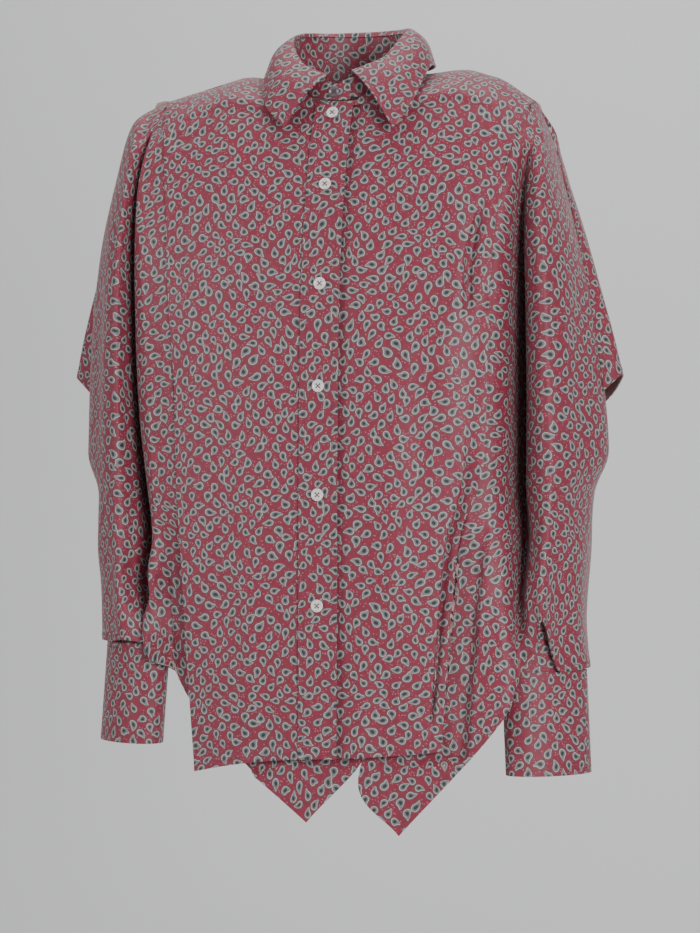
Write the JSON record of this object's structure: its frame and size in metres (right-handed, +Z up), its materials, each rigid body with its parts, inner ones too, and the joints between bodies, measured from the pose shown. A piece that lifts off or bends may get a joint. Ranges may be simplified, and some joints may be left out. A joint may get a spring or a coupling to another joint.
{
  "type": "paisley shirt",
  "caption": "Loose long-sleeved button-front shirt in a small paisley print, held in worn shape, with a pointed collar, a back cape, draped sleeve panels with pointed hems and deep cuffs.",
  "frame": {"origin": "on the centre plane where the wearer's shoulders and neck carry the shirt, level with the shoulder seam's inner end", "axes": "+Z up towards the collar, the front faces -Y, +X is the wearer's left"},
  "size_m": [0.5664, 0.2602, 0.7947],
  "materials": {
    "cloth": "soft satin, printed",
    "shell": "pearly"
  },
  "bodies": {
    "root": {"front_right": "cloth", "front_left": "cloth", "back": "cloth", "placket": "cloth", "sleeve_left": "cloth", "lower_sleeve_left": "cloth", "cuff_left": "cloth", "cuff_button_left_1": "shell", "cuff_button_left_2": "shell", "sleeve_right": "cloth", "lower_sleeve_right": "cloth", "cuff_right": "cloth", "cuff_button_right_1": "shell", "cuff_button_right_2": "shell", "collar_stand": "cloth", "collar": "cloth", "cape": "cloth", "button_2": "shell", "button_3": "shell", "button_4": "shell", "button_5": "shell", "button_6": "shell", "button_7": "shell", "button_1": "shell"}
  },
  "joints": []
}
